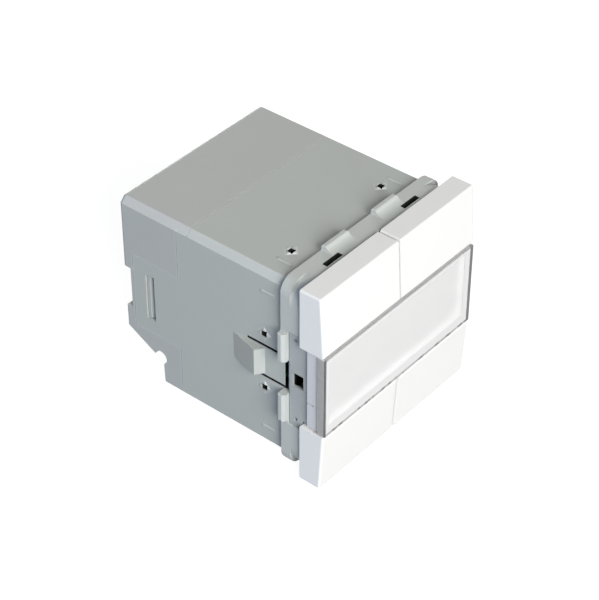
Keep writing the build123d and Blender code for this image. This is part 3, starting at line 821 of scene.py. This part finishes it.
def skinned(points: np.ndarray, wrap_rows: bool, wrap_columns: bool) -> Solid:
    """Joins a grid of points with four-sided faces.

    The face at row i and column j has the corners (i, j), (i+1, j), (i+1, j+1) and (i, j+1),
    counted round where an edge wraps.

    Args:
        points: Rows by columns by 3, in metres.
        wrap_rows: Whether the last row joins the first.
        wrap_columns: Whether the last column joins the first.

    Returns:
        The points as a list and the faces' corner numbers.
    """
    rows, columns = points.shape[:2]
    row = np.arange(rows if wrap_rows else rows - 1)[:, None]
    column = np.arange(columns if wrap_columns else columns - 1)[None, :]
    next_row = (row + 1) % rows
    next_column = (column + 1) % columns
    corners = [
        row * columns + column,
        next_row * columns + column,
        next_row * columns + next_column,
        row * columns + next_column,
    ]
    faces = np.stack([np.broadcast_to(corner, corners[0].shape) for corner in corners], axis=-1)
    return points.reshape(-1, 3), faces.reshape(-1, 4)


def stacked(parts: Sequence[Solid]) -> Solid:
    """Puts several meshes into one list of points and faces."""
    points, faces, start = [], [], 0
    for part_points, part_faces in parts:
        points.append(part_points)
        faces.append(part_faces + start)
        start += len(part_points)
    return np.concatenate(points), np.concatenate(faces)


def new_piece(name: str, points: np.ndarray, faces: np.ndarray, body: str = HOUSING) -> bpy.types.Object:
    """Makes the object, with poles welded, normals outwards and smooth shading.

    Args:
        name: The piece's name.
        points: Points in metres.
        faces: Corner numbers, four to a face.
        body: The CAD body that it rides on.

    Returns:
        The new object.
    """
    mesh = bpy.data.meshes.new(name)
    mesh.from_pydata(points.tolist(), [], faces.tolist())
    mesh.validate()
    work = bmesh.new()
    work.from_mesh(mesh)
    bmesh.ops.remove_doubles(work, verts=work.verts, dist=WELD)
    bmesh.ops.recalc_face_normals(work, faces=work.faces)
    work.to_mesh(mesh)
    work.free()
    mesh.shade_smooth()
    piece = linked(name, mesh)
    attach(piece, body)
    LOG.info("piece %s: %d faces", name, len(mesh.polygons))
    return piece


def lathed(profile: np.ndarray, centre: Sequence[float], axis: int, sides: int = 48) -> np.ndarray:
    """Turns a profile about an axis.

    Point (a, k) is the centre plus the profile's height k along the axis and its radius k
    times the cosine and sine of the angle a along the other two axes.

    Args:
        profile: Radius and height of each point, in metres.
        centre: A point of the axis.
        axis: Number of the axis, 0 to 2.
        sides: Steps round the turn.

    Returns:
        Sides by profile points by 3.
    """
    angle = np.linspace(0.0, 2 * math.pi, sides, endpoint=False)[:, None]
    radius, height = profile[None, :, 0], profile[None, :, 1]
    points = np.empty((sides, profile.shape[0], 3))
    points[..., axis] = height
    points[..., (axis + 1) % 3] = radius * np.cos(angle)
    points[..., (axis + 2) % 3] = radius * np.sin(angle)
    return points + np.asarray(centre)


def corners_of(node: str) -> tuple[np.ndarray, np.ndarray]:
    """Returns a CAD node's lowest and highest corners, in metres."""
    low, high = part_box(node)
    return np.array(low), np.array(high)


@dataclass
class CaseShell:
    """The grey outside: front case, rear cover and the carrier between the keys."""

    finishes: Finishes

    def dress(self) -> None:
        """Gives the three mouldings their finishes."""
        self.finishes.dress_nodes({
            "main_case": "case_plastic",
            "rear_cover": "cover_plastic",
            "front_carrier": "carrier_plastic",
        })


@dataclass
class KeyBank:
    """The four white keys with the switches and plungers behind them."""

    finishes: Finishes
    plate_thickness: float = 0.12 * MM
    plate_gap: float = 0.02 * MM
    hole_radius: float = 1.45 * MM
    skirt: float = 1.1 * MM
    bend: float = 0.18 * MM
    bend_share: float = 0.3
    squareness: float = 7.0
    sides: int = 64

    def dress(self) -> None:
        """Gives keys, switch bodies and plungers their finishes."""
        for corner in CORNERS:
            self.finishes.dress_nodes({
                corner + "_key": "key_plastic",
                corner + "_switch": "switch_plastic",
                corner + "_plunger": "plunger_plastic",
            })

    def outline(self, half: float, angle: np.ndarray) -> np.ndarray:
        """Returns the radius of a rounded square at each angle.

        The radius is the half width divided by the p-th root of |cos|^p + |sin|^p, where p is the
        squareness.
        """
        power = self.squareness
        spread = np.abs(np.cos(angle)) ** power + np.abs(np.sin(angle)) ** power
        return half / spread ** (1 / power)

    def cover_plate(self, corner: str) -> None:
        """Builds the pressed metal plate over one switch.

        Row k of the sheet is a ring about the plunger's axis: it starts at the round hole, widens
        to the rounded square on the front and turns down over the sides as a skirt.

        Args:
            corner: The switch's corner of the front.
        """
        low, high = corners_of(corner + "_switch")
        centre = (low + high) / 2
        half = (high[0] - low[0]) / 2 + self.plate_gap
        front = low[1] - self.plate_gap
        angle = np.linspace(0.0, 2 * math.pi, self.sides, endpoint=False)
        edge = self.outline(half, angle)
        bend, corner_bend = self.bend, self.bend * self.bend_share
        hole = np.full_like(angle, self.hole_radius)
        rows = [
            (hole, front),
            (hole + (edge - bend - hole) * 0.5, front),
            (edge - bend, front),
            (edge - corner_bend, front + corner_bend),
            (edge, front + bend),
            (edge, front + self.skirt),
        ]
        rings = []
        for radius, y in rows:
            across, up = radius * np.cos(angle), radius * np.sin(angle)
            rings.append(np.stack([centre[0] + across, np.full_like(angle, y), centre[2] + up], 1))
        plate = new_piece(corner + "_switch_plate", *skinned(np.array(rings), False, True))
        wall = plate.modifiers.new("thickness", "SOLIDIFY")
        wall.thickness = self.plate_thickness
        wall.offset = 1.0
        self.finishes.dress_piece(plate, "spring_metal")

    def build(self) -> None:
        """Dresses the nodes and adds the plates."""
        self.dress()
        for corner in CORNERS:
            self.cover_plate(corner)


@dataclass
class LabelWindow:
    """The label's tray, sheet and clear cover, with the light guide and its lamps."""

    finishes: Finishes
    lamps: int = 4
    cap_gap: float = 0.03 * MM
    tray_gap: float = 0.01 * MM

    def label_sheet(self) -> None:
        """Builds the blank sheet free of the cap, in place of the node that touches it.

        Row k is the outline times a share, at a depth: share 0 and 1 on the front, 1 and 0 on the back.
        """
        low, high = corners_of("label_insert")
        middle, half = (low + high) / 2, (high - low) / 2
        outline = np.array([(-1, -1), (1, -1), (1, 1), (-1, 1)]) * half[[0, 2]]
        front, back = low[1] + self.cap_gap, high[1] - self.tray_gap
        rows = [(0.0, front), (1.0, front), (1.0, back), (0.0, back)]
        points = np.array(
            [[(middle[0] + share * x, y, middle[2] + share * z) for x, z in outline] for share, y in rows]
        )
        sheet = new_piece("label_sheet", *skinned(points, False, True))
        sheet.data.shade_flat()
        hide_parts("label_insert")
        self.finishes.dress_piece(sheet, "label_sheet")

    def dress(self) -> None:
        """Gives the window's nodes their finishes."""
        self.finishes.dress_nodes({
            "label_base": "window_plastic",
            "label_cover": "clear_plastic",
            "light_guide": "guide_plastic",
            **{f"window_led_{number}": "lamp_resin" for number in range(1, self.lamps + 1)},
        })

    def build(self) -> None:
        """Dresses the nodes and adds the sheet."""
        self.dress()
        self.label_sheet()


@dataclass
class CouplerElectronics:
    """Boards, plug connection, bus pins and the parts soldered to the boards."""

    finishes: Finishes
    wire_radius: float = 0.24 * MM
    waist_radius: float = 3.92 * MM
    waist_foot: float = 1.45 * MM
    waist_height: float = 3.7 * MM
    turns: int = 8
    turn_steps: int = 40
    wire_sides: int = 8
    sleeve_wall: float = 0.1 * MM
    sleeve_gap: float = 0.02 * MM
    sleeve_foot: float = 2.3 * MM
    sleeve_bevel: float = 0.05 * MM
    sleeve_lip: float = 1.0 * MM
    joint_foot: float = 0.95 * MM
    joint_neck: float = 0.42 * MM
    joint_height: float = 0.55 * MM
    joint_tip: float = 0.08 * MM
    joint_steps: int = 9
    joint_sides: int = 20
    bus_leg_x: float = 2.875 * MM
    bus_leg_inset: float = 1.2 * MM
    link_pitch: float = 2.54 * MM
    link_leg_inset: float = 0.32 * MM
    link_legs: int = 5
    part_half: tuple[float, float, float] = (0.62 * MM, 0.4 * MM, 0.28 * MM)
    part_middle: float = 0.3 * MM
    part_power: float = 0.3
    part_sides: int = 16
    part_rings: int = 11
    part_beside: float = 2.2 * MM
    part_step: float = 2.1 * MM
    part_left: float = 0.5 * MM
    part_behind: float = 1.6 * MM
    row_behind: float = 4.2 * MM
    row: tuple[float, ...] = (-3.2 * MM, 0.4 * MM, 3.6 * MM)
    cap_half: tuple[float, float, float] = (0.2 * MM, 0.43 * MM, 0.3 * MM)
    cap_offset: float = 0.74 * MM

    def dress(self) -> None:
        """Gives the nodes of the electronics their finishes."""
        self.finishes.dress_nodes({
            "front_board": "upright_board",
            "coupler_board": "level_board",
            "link_socket": "connector_plastic",
            "link_header": "connector_plastic",
            "bus_pin_header": "connector_plastic",
            "link_pins": "pin_metal",
            "bus_pins": "pin_metal",
            "storage_capacitor": "can_metal",
            "bus_choke": "choke_core",
            "controller_chip": "chip_package",
        })

    def choke_winding(self) -> None:
        """Builds the wire wound on the choke's waist.

        The wire's middle line is a helix: its radius is the waist's plus the wire's, and it climbs
        evenly with the angle. Round each point lies a ring in the plane of the radius and the axis.
        """
        low, high = corners_of("bus_choke")
        centre = (low + high) / 2
        turn = np.linspace(0.0, self.turns * 2 * math.pi, self.turns * self.turn_steps)[:, None]
        ring = np.linspace(0.0, 2 * math.pi, self.wire_sides, endpoint=False)[None, :]
        radius = self.waist_radius + self.wire_radius + self.wire_radius * np.cos(ring)
        climb = self.waist_foot + self.waist_height * turn / turn.max() + self.wire_radius * np.sin(ring)
        points = np.empty((turn.size, ring.size, 3))
        points[..., 0] = centre[0] + radius * np.cos(turn)
        points[..., 1] = centre[1] + radius * np.sin(turn)
        points[..., 2] = low[2] + climb
        ends = [np.repeat(row.mean(0)[None], ring.size, 0)[None] for row in (points[0], points[-1])]
        points = np.concatenate([ends[0], points, ends[1]])
        winding = new_piece("choke_winding", *skinned(points, False, True))
        self.finishes.dress_piece(winding, "choke_wire")

    def capacitor_sleeve(self) -> None:
        """Builds the shrunk film round the capacitor's can.

        Its profile is a closed loop: up the outside from above the groove, over the rim, and back
        down just off the can.
        """
        low, high = corners_of("storage_capacitor")
        centre = (low + high) / 2
        radius = (high[0] - low[0]) / 2
        foot, rim = low[2] + self.sleeve_foot, high[2]
        inner, under = radius + self.sleeve_gap, rim + self.sleeve_gap
        outer, over = inner + self.sleeve_wall, under + self.sleeve_wall
        lip = radius - self.sleeve_lip
        profile = np.array([
            (inner, foot),
            (outer, foot),
            (outer, rim - self.sleeve_bevel),
            (radius - self.sleeve_bevel, over),
            (lip, over),
            (lip, under),
            (inner, under),
        ])
        grid = lathed(profile, (centre[0], centre[1], 0.0), axis=2)
        sleeve = new_piece("capacitor_sleeve", *skinned(grid, True, True))
        self.finishes.dress_piece(sleeve, "sleeve_film")

    def solder_joint(self, x: float, y: float, board_face: float) -> Solid:
        """Works out one solder cone under a board.

        Its radius falls from the foot's with the square of one minus the share of the height, so
        the cone is hollow-sided, down to a tip round the pin's end.

        Args:
            x: Place of the pin.
            y: Place of the pin.
            board_face: Height of the board's lower face.

        Returns:
            Points and faces of the cone.
        """
        share = np.linspace(0.0, 1.0, self.joint_steps)
        radius = self.joint_neck + (self.joint_foot - self.joint_neck) * (1 - share) ** 2
        profile = np.stack([radius, -share * self.joint_height], 1)
        profile = np.concatenate([[(0.0, 0.0)], profile, [(0.0, -self.joint_height - self.joint_tip)]])
        grid = lathed(profile, (x, y, board_face), axis=2, sides=self.joint_sides)
        return skinned(grid, True, False)

    def solder_joints(self) -> None:
        """Builds the joints of the bus pins and the link pins under the coupler board."""
        face = corners_of("coupler_board")[0][2]
        bus_y = corners_of("bus_pin_header")[1][1] - self.bus_leg_inset
        link_y = corners_of("link_pins")[1][1] - self.link_leg_inset
        links = (self.link_pitch * (index - self.link_legs // 2) for index in range(self.link_legs))
        cones = [self.solder_joint(sign * self.bus_leg_x, bus_y, face) for sign in BOTH]
        cones += [self.solder_joint(x, link_y, face) for x in links]
        joints = new_piece("solder_joints", *stacked(cones))
        self.finishes.dress_piece(joints, "solder")

    def small_block(self, centre: Sequence[float], half: Sequence[float]) -> Solid:
        """Works out one small part as a block with soft edges.

        A point is the centre plus, for each axis, the half size times the sign of the sphere's
        coordinate times that coordinate's size to the part's power, 1 for an ellipsoid and near 0
        for a block.

        Args:
            centre: Middle of the block.
            half: Half sizes along X, Y and Z.

        Returns:
            Points and faces.
        """
        around = np.linspace(0.0, 2 * math.pi, self.part_sides, endpoint=False)[None, :]
        up = np.linspace(-math.pi / 2, math.pi / 2, self.part_rings)[:, None]
        level = np.cos(up)
        heights = np.broadcast_to(np.sin(up), (up.size, around.size))
        sphere = np.stack([level * np.cos(around), level * np.sin(around), heights], -1)
        swollen = np.sign(sphere) * np.abs(sphere) ** self.part_power
        return skinned(np.asarray(centre) + swollen * np.asarray(half), False, True)

    def board_parts(self) -> None:
        """Adds rows of small resistors and capacitors on the coupler board, with bright end caps."""
        middle = corners_of("coupler_board")[1][2] + self.part_middle
        (left, front, _), (right, back, _) = corners_of("controller_chip")
        places = [(right + self.part_beside, front + step * self.part_step) for step in range(2)]
        places += [(left - self.part_beside, front + self.part_left), (0.0, back + self.part_behind)]
        places += [(x, back + self.row_behind) for x in self.row]
        bodies = [self.small_block((x, y, middle), self.part_half) for x, y in places]
        ends = [(x + sign * self.cap_offset, y, middle) for x, y in places for sign in BOTH]
        caps = [self.small_block(end, self.cap_half) for end in ends]
        ceramic = new_piece("small_part_bodies", *stacked(bodies))
        self.finishes.dress_piece(ceramic, "part_ceramic")
        metal = new_piece("small_part_caps", *stacked(caps))
        self.finishes.dress_piece(metal, "solder")

    def build(self) -> None:
        """Dresses the nodes and adds winding, sleeve, solder and small parts."""
        self.dress()
        self.choke_winding()
        self.capacitor_sleeve()
        self.solder_joints()
        self.board_parts()


@dataclass(frozen=True)
class Softbox:
    """One soft square studio light, aimed at the object's middle."""

    name: str
    direction: tuple[float, float, float]
    power: float
    colour: Colour = (1.0, 1.0, 1.0)
    size: float = 0.5
    distance: float = 1.0

    def build(self, aim: Vector) -> None:
        """Places the light so that it faces the aim."""
        data = bpy.data.lights.new(self.name, "AREA")
        data.shape = "SQUARE"
        data.size = self.size
        data.energy = self.power
        data.color = self.colour
        light = linked(self.name, data)
        away = Vector(self.direction).normalized()
        light.location = aim + away * self.distance
        light.rotation_mode = "QUATERNION"
        light.rotation_quaternion = (-away).to_track_quat("-Z", "Y")


@dataclass
class Studio:
    """Floor, lights and the camera at the photograph's angle."""

    finishes: Finishes
    camera_place: tuple[float, float, float] = (-0.22581, -0.17355, 0.23157)
    camera_right: tuple[float, float, float] = (0.63870828, -0.7694479, 0.00129281)
    camera_up: tuple[float, float, float] = (0.48009532, 0.3998325, 0.78079604)
    focal_pixels: float = 1966.06
    picture_width: float = 599.0
    sensor: float = 36.0
    floor_half: float = 4.0
    ambient: float = 0.1

    def camera(self) -> None:
        """Sets the camera: focal length is the sensor's width times focal pixels over picture width."""
        data = bpy.data.cameras.new("photo_camera")
        data.sensor_fit = "HORIZONTAL"
        data.sensor_width = self.sensor
        data.lens = self.sensor * self.focal_pixels / self.picture_width
        data.clip_start = 0.01
        data.clip_end = 20.0
        camera = linked("photo_camera", data)
        right, up = Vector(self.camera_right), Vector(self.camera_up)
        back = right.cross(up)
        turn = Matrix((right, up, back)).transposed().to_4x4()
        camera.matrix_world = Matrix.Translation(Vector(self.camera_place)) @ turn
        bpy.context.scene.camera = camera

    def floor(self, height: float) -> None:
        """Lays the floor at a height, as one large square."""
        half = self.floor_half
        mesh = bpy.data.meshes.new("floor")
        corners = [(x * half, y * half, height) for x, y in ((-1, -1), (1, -1), (1, 1), (-1, 1))]
        mesh.from_pydata(corners, [], [(0, 1, 2, 3)])
        floor = linked("floor", mesh)
        self.finishes.dress_piece(floor, "studio_floor")
        floor.visible_diffuse = False
        floor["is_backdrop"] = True

    def world(self) -> None:
        """Makes a white room that gives the object only a little even light."""
        world = bpy.data.worlds.new("studio_room")
        bpy.context.scene.world = world
        world.use_nodes = True
        world.cycles.sampling_method = "NONE"
        tree = world.node_tree
        background = tree.nodes["Background"]
        background.inputs["Color"].default_value = (1.0, 1.0, 1.0, 1.0)
        rays = tree.nodes.new("ShaderNodeLightPath")
        strength = tree.nodes.new("ShaderNodeMapRange")
        strength.inputs["To Min"].default_value = 1.0
        strength.inputs["To Max"].default_value = self.ambient
        tree.links.new(rays.outputs["Is Diffuse Ray"], strength.inputs["Value"])
        tree.links.new(strength.outputs[0], background.inputs["Strength"])

    def build(self, low: Vector, high: Vector) -> None:
        """Builds the studio round the object, given its lowest and highest corners."""
        aim = (low + high) / 2
        self.world()
        self.floor(low.z)
        for light in (
            Softbox("main_light", (-0.5, -0.95, 0.54), power=12.7, colour=(1.0, 1.0, 0.985)),
            Softbox("upper_left_light", (-0.7, -0.1, 0.7), power=0.6),
            Softbox("left_light", (-1.0, 0.0, 0.05), power=1.7, colour=(0.18, 0.5, 1.0)),
            Softbox("rear_light", (0.62, 0.78, 0.05), power=7.0),
        ):
            light.build(aim)
        self.camera()
        bpy.context.scene.view_settings.view_transform = "Standard"


def main() -> None:
    """Builds the switch's looks and its studio in order."""
    logging.basicConfig(level=logging.INFO, format="%(name)s: %(message)s")
    cad_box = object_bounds()
    finishes = Finishes()
    CaseShell(finishes).dress()
    KeyBank(finishes).build()
    LabelWindow(finishes).build()
    CouplerElectronics(finishes).build()
    Studio(finishes).build(*cad_box)


if __name__ == "__main__":
    main()
